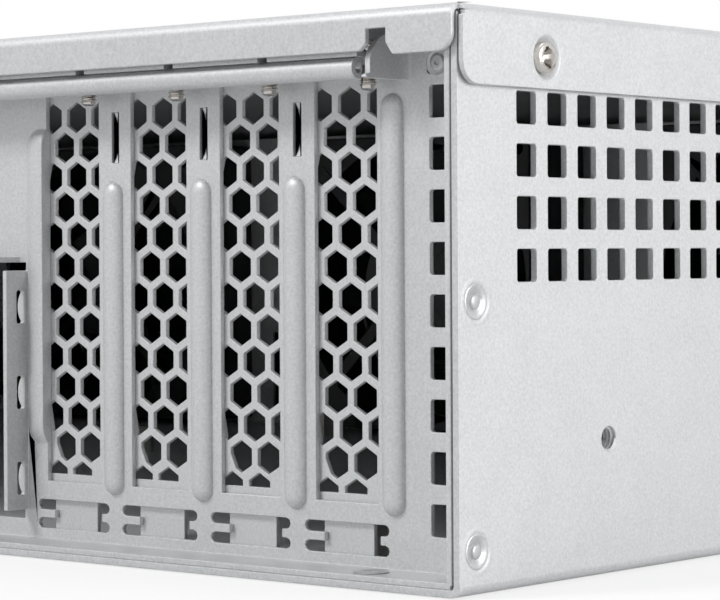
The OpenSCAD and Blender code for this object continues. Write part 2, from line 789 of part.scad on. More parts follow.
module rack_ear() {
    difference() {
        union() {
            block(half_w, front_y, 0, ear_out, front_y + ear_t, body_h);
            block(half_w, front_y, ear_leg_foot, half_w + ear_t, front_y + ear_leg, ear_leg_head);
        }
        for (z = [rack_slot_drop, body_h - rack_slot_drop]) {
            for (x = [-1, 1])
                bar_y([rack_slot_at + x * (rack_slot_l / 2 - rack_slot_r), front_y - over, z], rack_slot_r,
                    ear_t + 2 * over);
            block(rack_slot_at - rack_slot_l / 2 + rack_slot_r, front_y - over, z - rack_slot_r,
                rack_slot_at + rack_slot_l / 2 - rack_slot_r, front_y + ear_t + over, z + rack_slot_r);
        }
        for (z = [mid_z - handle_span / 2, mid_z + handle_span / 2])
            bar_y([handle_x, front_y - over, z], handle_screw_r, ear_t + 2 * over);
        for (z = ear_screw_zs) {
            bar_x([half_w - over, ear_screw_y, z], ear_screw_r, ear_t + 2 * over);
            translate([half_w + ear_t - (ear_screw_head_r - ear_screw_r), ear_screw_y, z])
                rotate([0, 90, 0])
                    cylinder(r1 = ear_screw_r, r2 = ear_screw_head_r, h = ear_screw_head_r - ear_screw_r);
        }
    }
}

module handle() {
    bar_y_middle = front_y - handle_reach + handle_r;
    leg = handle_reach - handle_r - handle_bend;
    color(aluminium)
        difference() {
            union() {
                for (side = [-1, 1])
                    bar_y([handle_x, front_y - leg, mid_z + side * handle_span / 2], handle_r, leg);
                bar_z([handle_x, bar_y_middle, mid_z - handle_span / 2 + handle_bend], handle_r,
                    handle_span - 2 * handle_bend);
                for (side = [0, 1])
                    translate([handle_x, front_y - leg, mid_z])
                        mirror([0, 0, side])
                            translate([0, 0, handle_span / 2 - handle_bend])
                                rotate([90, 0, -90])
                                    rotate_extrude(angle = 90)
                                        translate([handle_bend, 0])
                                            circle(r = handle_r);
            }
            for (side = [-1, 1])
                bar_y([handle_x, front_y - handle_screw_deep, mid_z + side * handle_span / 2],
                    handle_screw_r, handle_screw_deep + over);
        }
}

module handle_screws() {
    color(nickel)
        both_sides()
            for (side = [-1, 1])
                translate([handle_x, front_y + ear_t, mid_z + side * handle_span / 2])
                    rotate([-90, 0, 0])
                        difference() {
                            union() {
                                cylinder(r = handle_screw_head_r, h = handle_screw_head_h);
                                translate([0, 0, fit_gap - ear_t - handle_screw_deep])
                                    cylinder(r = handle_screw_r, h = ear_t + handle_screw_deep - fit_gap);
                            }
                            translate([0, 0, handle_screw_head_h])
                                cross_recess(handle_screw_head_r * 2 / 3);
                        }
}

module ear_screws() {
    head_h = ear_screw_head_r - ear_screw_r;
    color(nickel)
        both_sides()
            for (z = ear_screw_zs)
                translate([half_w + ear_t, ear_screw_y, z])
                    rotate([0, -90, 0])
                        difference() {
                            union() {
                                cylinder(r1 = ear_screw_head_r, r2 = ear_screw_r, h = head_h);
                                translate([0, 0, head_h])
                                    cylinder(r = ear_screw_r, h = ear_t + wall_t + flange_gap + front_t - head_h);
                            }
                            rotate([180, 0, 0])
                                cross_recess(ear_screw_r);
                        }
}

// Front frame

tray_face_d = 12;
tray_foot = 3.2;
columns = 4;
rows = 2;
tray_pitch_x = (body_w - 2 * cage_margin) / columns;
tray_pitch_z = (body_h - strip_h - tray_foot) / rows;
tray_w = tray_pitch_x - column_gap;
tray_h = tray_pitch_z - tray_gap;
tray_len = cage_back - front_y - tray_rear_gap;
window_gap = 0.5;
bay_head = tray_foot + rows * tray_pitch_z - tray_gap + window_gap;
bay_foot = tray_foot - window_gap;
front_flange = 36;
front_lip = 12;
// Places on the front strip are counted from the right wall's outside and from the top
blank_margin = 10;
blank_x = blank_margin - half_w;
blank_w = 128;
blank_drop = 22;
blank_z = body_h - blank_drop;
blank_h = 12.7;
blank_d = 14;
board_left = 97;
board_x0 = half_w - board_left;
board_right = 9;
board_x1 = half_w - board_right;
grille_gap = 11;
grille_x = blank_x + blank_w + grille_gap;
grille_clear = 24;
grille_columns = floor((board_x0 - grille_clear - grille_x) / vent_pitch);
grille_rows = 3;
grille_drop = 25.6;
grille_z = body_h - grille_drop;
usb_w = 13.1;
usb_h = 5.7;
usb_first = 91;
usb_pitch = 18;
usb_xs = [half_w - usb_first, half_w - usb_first + usb_pitch];
usb_drop = 17.5;
usb_z = body_h - usb_drop;
lens_middle = 47;
lens_pitch = 5;
lens_xs = [for (i = [-1:1]) half_w - lens_middle + i * lens_pitch];
lens_drop = 11;
lens_z = body_h - lens_drop;
lens_r = 1.5;
power_in = 21;
power_x = half_w - power_in;
power_drop = 16;
power_z = body_h - power_drop;
power_r = 5;
reset_x = half_w - lens_middle;
reset_drop = 22.5;
reset_z = body_h - reset_drop;
reset_r = 2;
button_gap = 0.3;
button_travel = 1.5;
button_proud = 1.2;
button_skirt = 1.2;
stem_r = 1.8;
board_in = 16;
board_t = 1.6;
board_foot_drop = 27;
board_z0 = body_h - board_foot_drop;
board_head_drop = 4;
board_z1 = body_h - board_head_drop;
post_r = 2;
post_left = 61;
post_low_drop = 24.5;
post_right = 34;
post_high_drop = 7;
post_places = [[half_w - post_left, body_h - post_low_drop], [half_w - post_right, body_h - post_high_drop]];
switch_w = 6;
switch_h = 3.5;
usb_wall = 0.4;

function column_x(c) = (c - (columns - 1) / 2) * tray_pitch_x;
function row_z(r) = tray_foot + r * tray_pitch_z;

grille_holes = [for (c = [0:grille_columns - 1]) for (r = [0:grille_rows - 1]) round_rect(
    [grille_x + c * vent_pitch + vent_w / 2, grille_z + r * vent_pitch + vent_w / 2], vent_w, vent_w, vent_r)];

module front_frame() {
    bay_half = tray_w / 2 + window_gap;
    color(black_paint)
        difference() {
            union() {
                cross_plate(front_y, front_t)
                    pierced(rect(-half_w, 0, half_w, body_h), concat(
                        [for (c = [0:columns - 1]) rect(column_x(c) - bay_half, bay_foot,
                            column_x(c) + bay_half, bay_head)],
                        [rect(blank_x - fit_gap, blank_z - fit_gap, blank_x + blank_w + fit_gap,
                            blank_z + blank_h + fit_gap)],
                        [for (x = usb_xs) rect(x - usb_w / 2 - fit_gap, usb_z - usb_h / 2 - fit_gap,
                            x + usb_w / 2 + fit_gap, usb_z + usb_h / 2 + fit_gap)],
                        grille_holes));
                both_sides()
                    block(half_w - wall_t - flange_gap - front_t, pan_front, bend_h,
                        half_w - wall_t - flange_gap, front_y + front_flange, lid_under - fit_gap);
                block(-half_w + bend_h, pan_front, wall_t, half_w - bend_h, front_y + front_lip, wall_t + lid_t);
                block(-half_w + bend_h, pan_front, lid_under - fit_gap - front_t, half_w - bend_h,
                    front_y + front_lip, lid_under - fit_gap);
                for (p = post_places)
                    bar_y([p[0], pan_front, p[1]], post_r, board_in - front_t);
            }
            bar_y([power_x, front_y - over, power_z], power_r + button_gap, front_t + 2 * over);
            bar_y([reset_x, front_y - over, reset_z], reset_r + button_gap, front_t + 2 * over);
            for (x = lens_xs)
                bar_y([x, front_y - over, lens_z], lens_r + button_gap / 2, front_t + 2 * over);
            both_sides()
                for (z = ear_screw_zs)
                    bar_x([half_w - wall_t - flange_gap - front_t - over, ear_screw_y, z], ear_screw_r,
                        front_t + 2 * over);
        }
}

module push_button(x, z, r) {
    color(black_plastic)
        union() {
            bar_y([x, front_y - button_proud, z], r, button_proud + front_t + button_gap);
            bar_y([x, pan_front + button_gap, z], r + button_skirt, button_skirt);
            bar_y([x, pan_front + button_gap, z], stem_r,
                board_in - front_t - switch_h - button_travel - 2 * button_gap);
        }
}

module power_button() {
    push_button(power_x, power_z, power_r);
}

module reset_button() {
    push_button(reset_x, reset_z, reset_r);
}

module indicator_lenses() {
    color("#E8F0E8")
        for (x = lens_xs)
            bar_y([x, front_y - lens_r / 2, lens_z], lens_r, lens_r / 2 + board_in);
}

module control_board() {
    color(board_green)
        union() {
            block(board_x0, front_y + board_in, board_z0, board_x1, front_y + board_in + board_t, board_z1);
            for (p = [[power_x, power_z], [reset_x, reset_z]])
                block(p[0] - switch_w / 2, front_y + board_in - switch_h, p[1] - switch_w / 2,
                    p[0] + switch_w / 2, front_y + board_in, p[1] + switch_w / 2);
        }
}

module usb_ports() {
    color(nickel)
        for (x = usb_xs)
            difference() {
                block(x - usb_w / 2, front_y, usb_z - usb_h / 2, x + usb_w / 2, front_y + board_in, usb_z + usb_h / 2);
                difference() {
                    block(x - usb_w / 2 + usb_wall, front_y - over, usb_z - usb_h / 2 + usb_wall,
                        x + usb_w / 2 - usb_wall, front_y + board_in - over, usb_z + usb_h / 2 - usb_wall);
                    block(x - usb_w / 2 + 2 * usb_wall, front_y + over / 2, usb_z,
                        x + usb_w / 2 - 2 * usb_wall, front_y + board_in, usb_z + usb_h / 3);
                }
            }
}

module optical_bay_blank() {
    wall = front_t;
    color(black_plastic)
        difference() {
            block(blank_x, front_y, blank_z, blank_x + blank_w, front_y + blank_d, blank_z + blank_h);
            block(blank_x + wall, front_y + wall, blank_z + wall, blank_x + blank_w - wall,
                front_y + blank_d + over, blank_z + blank_h - wall);
        }
}

// Drive cage

divider_t = 1.2;
cage_front = front_y + tray_face_d + fit_gap;
cage_top_t = 1;
cage_head = bay_head + fit_gap;
runner_w = 2;
runner_t = 1.4;
tray_side_t = 1.5;
tray_floor_t = 1.4;
tray_side_drop = 6.6;
tray_side_h = tray_h - tray_side_drop;
runner_gap = 0.3;

module cage_dividers() {
    color(galvanised)
        for (i = [0:columns])
            block(column_x(i) - tray_pitch_x / 2 - divider_t / 2, cage_front, wall_t,
                column_x(i) - tray_pitch_x / 2 + divider_t / 2, cage_back, cage_head);
}

module cage_top() {
    color(galvanised)
        block(column_x(0) - tray_pitch_x / 2 - divider_t / 2, pan_front, cage_head,
            column_x(columns - 1) + tray_pitch_x / 2 + divider_t / 2, cage_back, cage_head + cage_top_t);
}

module tray_runners() {
    inner = tray_pitch_x / 2 - divider_t / 2;
    color(grey_plastic)
        for (c = [0:columns - 1])
            for (r = [0:rows - 1])
                for (side = [-1, 1])
                    let (x = column_x(c) + side * (inner - runner_w / 2),
                        top = row_z(r) + tray_gap - runner_gap)
                        block(x - runner_w / 2, cage_front, r == 0 ? wall_t : top - runner_t,
                            x + runner_w / 2, cage_back, top);
}

// Backplane

backplane_t = 1.6;
connector_w = 42;
connector_h = 6;
connector_d = 8;
socket_wall = 1;
airway_w = 11;
airway_h = 9;
airways = 6;

module backplane() {
    color(board_green)
        cross_plate(cage_back, backplane_t)
            pierced(rect(column_x(0) - tray_pitch_x / 2, wall_t, column_x(columns - 1) + tray_pitch_x / 2, cage_head),
                [for (c = [0:columns - 1]) for (r = [0:rows - 1]) for (i = [0:airways - 1])
                    let (x = column_x(c) + (i - (airways - 1) / 2) * (tray_w / airways - socket_wall),
                        z = row_z(r) + tray_h * 3 / 4)
                        rect(x - airway_w / 2, z - airway_h / 2, x + airway_w / 2, z + airway_h / 2)]);
}

module backplane_connectors() {
    color(black_plastic)
        for (c = [0:columns - 1])
            for (r = [0:rows - 1])
                translate([column_x(c) - connector_w / 2, cage_back - connector_d, row_z(r) + tray_h / 4 - connector_h / 2])
                    difference() {
                        cube([connector_w, connector_d, connector_h]);
                        translate([socket_wall, -over, socket_wall])
                            cube([connector_w - 2 * socket_wall, connector_d / 2 + over, connector_h - 2 * socket_wall]);
                    }
}

// Drive trays and their levers

lever_x_in = 7.2;
lever_x = lever_x_in - tray_w / 2;
lever_in = 3.4;
lever_heel_r = 2.8;
lever_margin = 5.3;
lever_h = tray_h - 2 * lever_margin;
lever_t = 3.6;
lever_end_in = 6;
lever_end = tray_w / 2 - lever_end_in;
lever_pin_r = 1.5;
lever_pin_l = 1.6;
pin_gap = 0.1;
lever_slot_w = 7;
lever_slot_share = 0.4375;
lever_slot_h = lever_slot_share * lever_h;
lever_slot_pitch = 10.5;
lever_slot_lead = 20;
lever_slot_first = lever_x + lever_slot_lead;
lever_slots = floor((lever_end - lever_slot_first) / lever_slot_pitch) + 1;
recess_in = 6.6;
recess_side_in = 1.7;
recess_side = tray_w / 2 - recess_side_in;
face_slot_share = 0.3125;
face_slot_h = face_slot_share * lever_h;
carrier_gap = 0.1;

// A drive tray is a moulded bezel with a carrier behind it
module drive_tray(i) {
    carrier_front = tray_face_d + carrier_gap;
    c = i % columns;
    r = floor(i / columns);
    half = tray_w / 2;
    mid = tray_h / 2;
    pocket = lever_h / 2 + button_gap;
    color(black_plastic)
        translate([column_x(c), front_y, row_z(r)])
            union() {
                difference() {
                    block(-half, 0, 0, half, tray_face_d, tray_h);
                    block(-recess_side, -over, mid - pocket, recess_side, recess_in, mid + pocket);
                    bar_z([lever_x, lever_in, mid - pocket - lever_pin_l - pin_gap], lever_pin_r + pin_gap,
                        2 * (pocket + lever_pin_l + pin_gap));
                    for (j = [0:lever_slots - 1])
                        block(lever_slot_first + j * lever_slot_pitch - lever_slot_w / 2, recess_in - over,
                            mid - face_slot_h / 2, lever_slot_first + j * lever_slot_pitch + lever_slot_w / 2,
                            tray_face_d + over, mid + face_slot_h / 2);
                }
                block(-half, carrier_front, tray_gap, half, tray_len, tray_gap + tray_floor_t);
                for (side = [-half, half - tray_side_t])
                    block(side, carrier_front, tray_gap, side + tray_side_t, tray_len, tray_side_h);
            }
}

module tray_lever(i) {
    c = i % columns;
    r = floor(i / columns);
    mid = tray_h / 2;
    face = lever_in - lever_heel_r;
    color(grey_plastic)
        translate([column_x(c), front_y, row_z(r) + mid])
            difference() {
                union() {
                    bar_z([lever_x, lever_in, -lever_h / 2], lever_heel_r, lever_h);
                    bar_z([lever_x, lever_in, -lever_h / 2 - lever_pin_l], lever_pin_r, lever_h + 2 * lever_pin_l);
                    block(lever_x, face, -lever_h / 2, lever_end, face + lever_t, lever_h / 2);
                }
                for (j = [0:lever_slots - 1])
                    block(lever_slot_first + j * lever_slot_pitch - lever_slot_w / 2, face - over,
                        -lever_slot_h / 2, lever_slot_first + j * lever_slot_pitch + lever_slot_w / 2,
                        face + lever_t + over, lever_slot_h / 2);
            }
}

// Fans

fans = 3;
fan_w = body_h - fan_clear;
fan_pitch = (body_w - 2 * fan_margin) / fans;
fan_foot = 3;
fan_rim = 1.5;
fan_bore_r = fan_w / 2 - fan_rim;
fan_screw_share = 0.89375;
fan_screw_r = 2;
fan_screw_head_r = 3.4;
fan_screw_head_h = 1.8;
fan_screw_len = 8;
hub_r = 16;
hub_wall = 1.6;
hub_front = 1.6;
hub_len = 16;
strut_t = 3;
strut_w = 3;
boss_r = 4;
boss_l = 12;
shaft_r = 1.5;
blade_t = 1.6;
blade_chord = 18;
blade_angle = 40;
blade_tip_gap = 1.8;
wall_flange = 10;
cable_share = 0.6;
cable_w = cable_share * (fan_pitch - fan_w);
cable_h = 22;
cable_foot = 6;

function fan_x(k) = (k - (fans - 1) / 2) * fan_pitch;
fan_mid_z = fan_foot + fan_w / 2;
fan_screw_half = fan_w * fan_screw_share / 2;

module at_fan_screws() {
    for (sx = [-1, 1])
        for (sz = [-1, 1])
            translate([sx * fan_screw_half, 0, sz * fan_screw_half])
                children();
}

module fan_wall() {
    half = half_w - wall_t - fit_gap;
    color(galvanised)
        difference() {
            union() {
                cross_plate(fan_y, wall_t)
                    pierced(standing(half, wall_top - wall_t - fit_gap),
                        [for (k = [0:fans]) rect((k - fans / 2) * fan_pitch - cable_w / 2, cable_foot,
                            (k - fans / 2) * fan_pitch + cable_w / 2, cable_foot + cable_h)]);
                block(-half + bend_h, fan_y - wall_flange, wall_t, half - bend_h, fan_y, 2 * wall_t);
            }
            for (k = [0:fans - 1])
                translate([fan_x(k), 0, fan_mid_z]) {
                    bar_y([0, fan_y - over, 0], fan_bore_r, wall_t + 2 * over);
                    at_fan_screws()
                        bar_y([0, fan_y - over, 0], fan_screw_r, wall_t + 2 * over);
                }
        }
}

module fan_frame(k) {
    color(black_plastic)
        translate([fan_x(k), fan_y + wall_t, fan_mid_z])
            difference() {
                union() {
                    difference() {
                        block(-fan_w / 2, 0, -fan_w / 2, fan_w / 2, fan_d, fan_w / 2);
                        bar_y([0, -over, 0], fan_bore_r, fan_d + 2 * over);
                    }
                    for (a = [45:90:315])
                        rotate([0, a, 0])
                            block(0, fan_d - strut_t, -strut_w / 2, fan_bore_r + over, fan_d, strut_w / 2);
                    bar_y([0, fan_d - strut_t, 0], hub_r, strut_t);
                    bar_y([0, fan_d - strut_t - boss_l, 0], boss_r, boss_l);
                }
                bar_y([0, fan_d - strut_t - boss_l - over, 0], shaft_r + pin_gap, boss_l + over + strut_t / 2);
                at_fan_screws()
                    bar_y([0, -over, 0], fan_screw_r + pin_gap, fan_d + 2 * over);
            }
}

module fan_rotor(k) {
    tip = fan_bore_r - blade_tip_gap;
    color(black_plastic)
        translate([fan_x(k), fan_y + wall_t + hub_front, fan_mid_z])
            union() {
                difference() {
                    bar_y([0, 0, 0], hub_r, hub_len);
                    bar_y([0, hub_wall, 0], hub_r - hub_wall, hub_len);
                }
                bar_y([0, hub_wall / 2, 0], shaft_r, fan_d - strut_t - hub_front - hub_wall / 2);
                for (i = [0:fan_blades - 1])
                    rotate([0, i * 360 / fan_blades, 0])
                        translate([hub_r - hub_wall / 2, hub_len / 2, 0])
                            rotate([blade_angle, 0, 0])
                                translate([0, -blade_t / 2, -blade_chord / 2])
                                    cube([tip - hub_r, blade_t, blade_chord]);
            }
}

module fan_screws() {
    color(nickel)
        for (k = [0:fans - 1])
            translate([fan_x(k), fan_y, fan_mid_z])
                at_fan_screws()
                    rotate([90, 0, 0])
                        difference() {
                            union() {
                                cylinder(r = fan_screw_head_r, h = fan_screw_head_h);
                                translate([0, 0, -fan_screw_len])
                                    cylinder(r = fan_screw_r, h = fan_screw_len);
                            }
                            translate([0, 0, fan_screw_head_h])
                                cross_recess(fan_screw_head_r * 2 / 3);
                        }
}

// Main board standoffs and the power supply bracket

standoff_w = 6;
standoff_h = 6.4;
standoff_r = 1.25;
standoff_xs = [34, 79.72, 237.2];
standoff_ins = [22, 176.94, 249.33];
bracket_in = 160;
bracket_foot_l = 12;
bracket_h = 46;

module standoffs() {
    color(nickel)
        for (s = standoff_xs)
            for (u = standoff_ins)
                translate([across(s), inward(u), wall_t])
                    difference() {
                        cylinder(r = standoff_w / 2 / cos(30), h = standoff_h, $fn = 6);
                        translate([0, 0, over])
                            cylinder(r = standoff_r, h = standoff_h);
                    }
}

module psu_bracket() {
    color(galvanised)
        union() {
            block(psu_x, inward(bracket_in), wall_t, psu_x + psu_w, inward(bracket_in - bracket_foot_l), 2 * wall_t);
            block(psu_x, inward(bracket_in), wall_t, psu_x + psu_w, inward(bracket_in) + wall_t, wall_t + bracket_h);
        }
}

chassis_pan();
rear_panel();
lid();
lid_screws();
front_frame();
cage_dividers();
cage_top();
tray_runners();
backplane();
backplane_connectors();
color(black_paint) mirror([1, 0, 0]) rack_ear();  // rack_ear_left
color(black_paint) rack_ear();  // rack_ear_right
mirror([1, 0, 0]) handle();  // handle_left
handle();  // handle_right
slot_cover(0);  // slot_cover_1
slot_cover(1);  // slot_cover_2
slot_cover(2);  // slot_cover_3
slot_cover(3);  // slot_cover_4
slot_screws();
panel_rivets();
fan_wall();
fan_frame(0);  // fan_frame_1
fan_frame(1);  // fan_frame_2
fan_frame(2);  // fan_frame_3
fan_rotor(0);  // fan_rotor_1
fan_rotor(1);  // fan_rotor_2
fan_rotor(2);  // fan_rotor_3
fan_screws();
standoffs();
psu_bracket();
drive_tray(0);  // drive_tray_1
drive_tray(1);  // drive_tray_2
drive_tray(2);  // drive_tray_3
drive_tray(3);  // drive_tray_4
drive_tray(4);  // drive_tray_5
drive_tray(5);  // drive_tray_6
drive_tray(6);  // drive_tray_7
drive_tray(7);  // drive_tray_8
tray_lever(0);  // tray_lever_1
tray_lever(1);  // tray_lever_2
tray_lever(2);  // tray_lever_3
tray_lever(3);  // tray_lever_4
tray_lever(4);  // tray_lever_5
tray_lever(5);  // tray_lever_6
tray_lever(6);  // tray_lever_7
tray_lever(7);  // tray_lever_8
power_button();
reset_button();
indicator_lenses();
control_board();
usb_ports();
optical_bay_blank();
ear_screws();
handle_screws();
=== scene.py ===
# %% [markdown]
# # A rackmount server case, seen from one rear corner
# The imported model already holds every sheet, screw and drive tray at its real place and size.
# This notebook gives those shapes the finish of the real object: broken edges on the folded
# sheet steel, screws with threads, and a material for each metal and plastic.
# The first lines load the model. Everything here is in metres, in the model's own frame:
# +Z is up and the rear panel faces +Y.

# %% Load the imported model
import json
from math import radians, sin, cos, tau
import bmesh
import bpy
from mathutils import Matrix, Vector


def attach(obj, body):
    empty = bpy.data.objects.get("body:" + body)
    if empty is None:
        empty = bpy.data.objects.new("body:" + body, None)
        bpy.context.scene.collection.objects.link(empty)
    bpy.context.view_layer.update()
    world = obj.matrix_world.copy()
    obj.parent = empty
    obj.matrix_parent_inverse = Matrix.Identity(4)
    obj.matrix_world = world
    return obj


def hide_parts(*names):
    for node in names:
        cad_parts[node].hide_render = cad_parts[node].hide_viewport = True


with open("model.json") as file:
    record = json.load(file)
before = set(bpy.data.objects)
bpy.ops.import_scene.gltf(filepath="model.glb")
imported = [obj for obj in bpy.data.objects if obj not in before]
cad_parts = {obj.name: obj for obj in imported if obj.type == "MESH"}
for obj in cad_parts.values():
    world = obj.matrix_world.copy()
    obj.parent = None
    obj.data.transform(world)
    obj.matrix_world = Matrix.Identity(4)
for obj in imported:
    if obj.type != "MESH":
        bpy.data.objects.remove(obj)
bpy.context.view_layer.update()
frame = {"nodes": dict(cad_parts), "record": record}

# %% [markdown]
# ## Millimetres and places
# Sheet metal is drawn in millimetres, so one value turns them into metres.
# On the rear, a place is easiest to name the way it is measured on the real case: "across" from
# the left side wall, and "inward" from the rear edge of the lid.

# %% Millimetres and places
mm = 0.001
half_w = 215 * mm
rear_y = 267.5 * mm


def across(s):
    return s * mm - half_w


def inward(u):
    return rear_y - u * mm


print("rear edge at y =", round(rear_y, 4), "m")

# %% [markdown]
# ## Colours and nodes
# A colour picked from a screen is sRGB. A material wants it linear, and one function does that.
# A second small function adds a shader node, sets it and links it, so that each material below
# reads as a list of what its surface has.

# %% Colours and nodes
def linear(hex_colour):
    parts = [int(hex_colour[i:i + 2], 16) / 255 for i in (1, 3, 5)]
    return tuple(c / 12.92 if c <= 0.04045 else ((c + 0.055) / 1.055) ** 2.4 for c in parts) + (1.0,)


def add(tree, kind, inputs=None, **settings):
    """Adds a node. Inputs are values or other nodes' outputs, and settings are the node's own options."""
    made = tree.nodes.new(kind)
    for name, value in settings.items():
        setattr(made, name, value)
    for name, value in (inputs or {}).items():
        if isinstance(value, bpy.types.NodeSocket):
            tree.links.new(value, made.inputs[name])
        else:
            made.inputs[name].default_value = value
    return made


def new_material(name, **shader_inputs):
    """An empty material with its shader, and the tree and coordinates to build on."""
    made = bpy.data.materials.new(name)
    made.use_nodes = True
    tree = made.node_tree
    shader = tree.nodes["Principled BSDF"]
    for key, value in shader_inputs.items():
        shader.inputs[key.replace("_", " ")].default_value = value
    coords = add(tree, "ShaderNodeTexCoord").outputs["Object"]
    return made, tree, shader, coords


print("mid grey #808080 is", round(linear("#808080")[0], 3), "in linear light")

# %% [markdown]
# ## Galvanised sheet
# The case is hot-dip galvanised steel that was rolled once more, which breaks the zinc flowers
# down to a fine grey speckle about 0.3 mm wide, with very faint clouds a few millimetres across.
# The speckle is drawn 0.45 mm wide, so that it still shows in the picture.
# The grain makes the colour flicker by a few percent and scatters the reflection, so the sheet
# looks bright but hardly mirrors anything. Two noises do it: a fine one for the grain, in colour
# and bump, and a slow one for the clouds.

# %% Galvanised sheet
grain_mm = 0.45
cloud_mm = 9
cloud_share = 0.15


def galvanised_sheet(name, dark, light, metallic, roughness):
    made, tree, shader, coords = new_material(name, Metallic=metallic)
    grain = add(tree, "ShaderNodeTexNoise", {"Vector": coords, "Scale": 1 / (grain_mm * mm),
                                             "Detail": 2.0, "Roughness": 0.6})
    clouds = add(tree, "ShaderNodeTexNoise", {"Vector": coords, "Scale": 1 / (cloud_mm * mm),
                                              "Detail": 3.0, "Roughness": 0.55})
    both = add(tree, "ShaderNodeMix", {"Factor": cloud_share, "A": grain.outputs["Fac"],
                                       "B": clouds.outputs["Fac"]}, data_type="FLOAT")
    colour = add(tree, "ShaderNodeValToRGB", {"Fac": both.outputs["Result"]})
    colour.color_ramp.elements[0].position = 0.32
    colour.color_ramp.elements[0].color = linear(dark)
    colour.color_ramp.elements[1].position = 0.68
    colour.color_ramp.elements[1].color = linear(light)
    tree.links.new(colour.outputs["Color"], shader.inputs["Base Color"])
    rough = add(tree, "ShaderNodeMapRange", {"Value": both.outputs["Result"], "From Min": 0.3,
                                             "From Max": 0.7, "To Min": roughness - 0.05,
                                             "To Max": roughness + 0.07})
    tree.links.new(rough.outputs["Result"], shader.inputs["Roughness"])
    bump = add(tree, "ShaderNodeBump", {"Height": grain.outputs["Fac"], "Strength": 0.18,
                                        "Distance": 0.02 * mm})
    tree.links.new(bump.outputs["Normal"], shader.inputs["Normal"])
    return made


galvanised = galvanised_sheet("hot_dip_galvanised_sheet", "#BFC1C3", "#D3D4D5", 0.35, 0.48)
# A darker copy of the sheet's finish for the rivets and the hook's screw. It is zinc plating, and its
# darkness is partly painted shade for the screw, which sits under the lid flange.
zinc_with_painted_shade = galvanised_sheet("rivet_zinc_with_painted_shade", "#B2B4B6", "#C2C4C6", 0.6, 0.36)
print("made", galvanised.name, zinc_with_painted_shade.name)

# %% [markdown]
# ## Nickel plate and anodised bar
# Small screws and standoffs are nickel plated: smooth, a little warm, and mirror-like. The
# handles are extruded aluminium, brushed along the bar and anodised, so their fine lines run the
# long way. Both are metals, so only colour, roughness and lines differ.

# %% Nickel plate and anodised bar
def turned_metal(name, colour, roughness, line_mm, stretch):
    made, tree, shader, coords = new_material(name, Metallic=1.0)
    turned = add(tree, "ShaderNodeMapping", {"Vector": coords, "Scale": stretch})
    lines = add(tree, "ShaderNodeTexNoise", {"Vector": turned.outputs["Vector"],
                                             "Scale": 1 / (line_mm * mm), "Detail": 3.0})
    darker = tuple(0.8 * c for c in linear(colour)[:3]) + (1.0,)
    tint = add(tree, "ShaderNodeMix", {"Factor": lines.outputs["Fac"], "A": linear(colour), "B": darker},
               data_type="RGBA")
    tree.links.new(tint.outputs[2], shader.inputs["Base Color"])
    rough = add(tree, "ShaderNodeMapRange", {"Value": lines.outputs["Fac"], "To Min": roughness * 0.7,
                                             "To Max": roughness * 1.4})
    tree.links.new(rough.outputs["Result"], shader.inputs["Roughness"])
    bump = add(tree, "ShaderNodeBump", {"Height": lines.outputs["Fac"], "Strength": 0.15,
                                        "Distance": 0.02 * mm})
    tree.links.new(bump.outputs["Normal"], shader.inputs["Normal"])
    return made


nickel = turned_metal("nickel_plated_steel", "#CFCBC6", 0.2, 0.6, (1, 1, 1))
anodised = turned_metal("brushed_anodised_aluminium", "#C9CACC", 0.3, 0.25, (1, 0.15, 0.15))
print("made", nickel.name, anodised.name)

# %% [markdown]
# ## Painted steel and moulded plastics
# The front is powder coated: dry powder is baked on, and it dries to a fine orange peel about
# 0.7 mm wide. The trays and fans are moulded from ABS and glass-filled polyester with a spark
# eroded texture. They differ in colour, gloss and grain, so one function serves them all.

# %% Painted steel and moulded plastics
def moulded(name, colour, roughness, grain_mm, bump_strength):
    made, tree, shader, coords = new_material(name)
    grain = add(tree, "ShaderNodeTexNoise", {"Vector": coords, "Scale": 1 / (grain_mm * mm), "Detail": 2.0})
    wear = add(tree, "ShaderNodeTexNoise", {"Vector": coords, "Scale": 1 / (25 * mm), "Detail": 4.0})
    lighter = tuple(min(1.0, 1.25 * c + 0.004) for c in linear(colour)[:3]) + (1.0,)
    tint = add(tree, "ShaderNodeMix", {"Factor": wear.outputs["Fac"], "A": linear(colour), "B": lighter},
               data_type="RGBA")
    tree.links.new(tint.outputs[2], shader.inputs["Base Color"])
    rough = add(tree, "ShaderNodeMapRange", {"Value": grain.outputs["Fac"], "To Min": roughness - 0.08,
                                             "To Max": roughness + 0.1})
    tree.links.new(rough.outputs["Result"], shader.inputs["Roughness"])
    bump = add(tree, "ShaderNodeBump", {"Height": grain.outputs["Fac"], "Strength": bump_strength,
                                        "Distance": 0.05 * mm})
    tree.links.new(bump.outputs["Normal"], shader.inputs["Normal"])
    return made


powder_coat = moulded("black_powder_coat", "#1F2022", 0.5, 0.7, 0.35)
black_abs = moulded("moulded_black_abs", "#26272A", 0.48, 0.35, 0.3)
grey_abs = moulded("moulded_dark_grey_abs", "#484A4E", 0.45, 0.35, 0.3)
fan_plastic = moulded("glass_filled_black_polyester", "#1B1C1E", 0.4, 0.5, 0.2)
nylon = moulded("moulded_grey_nylon", "#55585C", 0.5, 0.4, 0.2)
clear_lens = moulded("clear_polycarbonate_light_pipe", "#DDE8E0", 0.15, 1.0, 0.05)
print("made six moulded and painted finishes")

# %% [markdown]
# ## Circuit board
# Glass fibre laminate under green solder mask. The copper below shows as slightly lighter
# tracks and pads. A brick pattern with long thin bricks gives tracks about 1.2 mm apart.

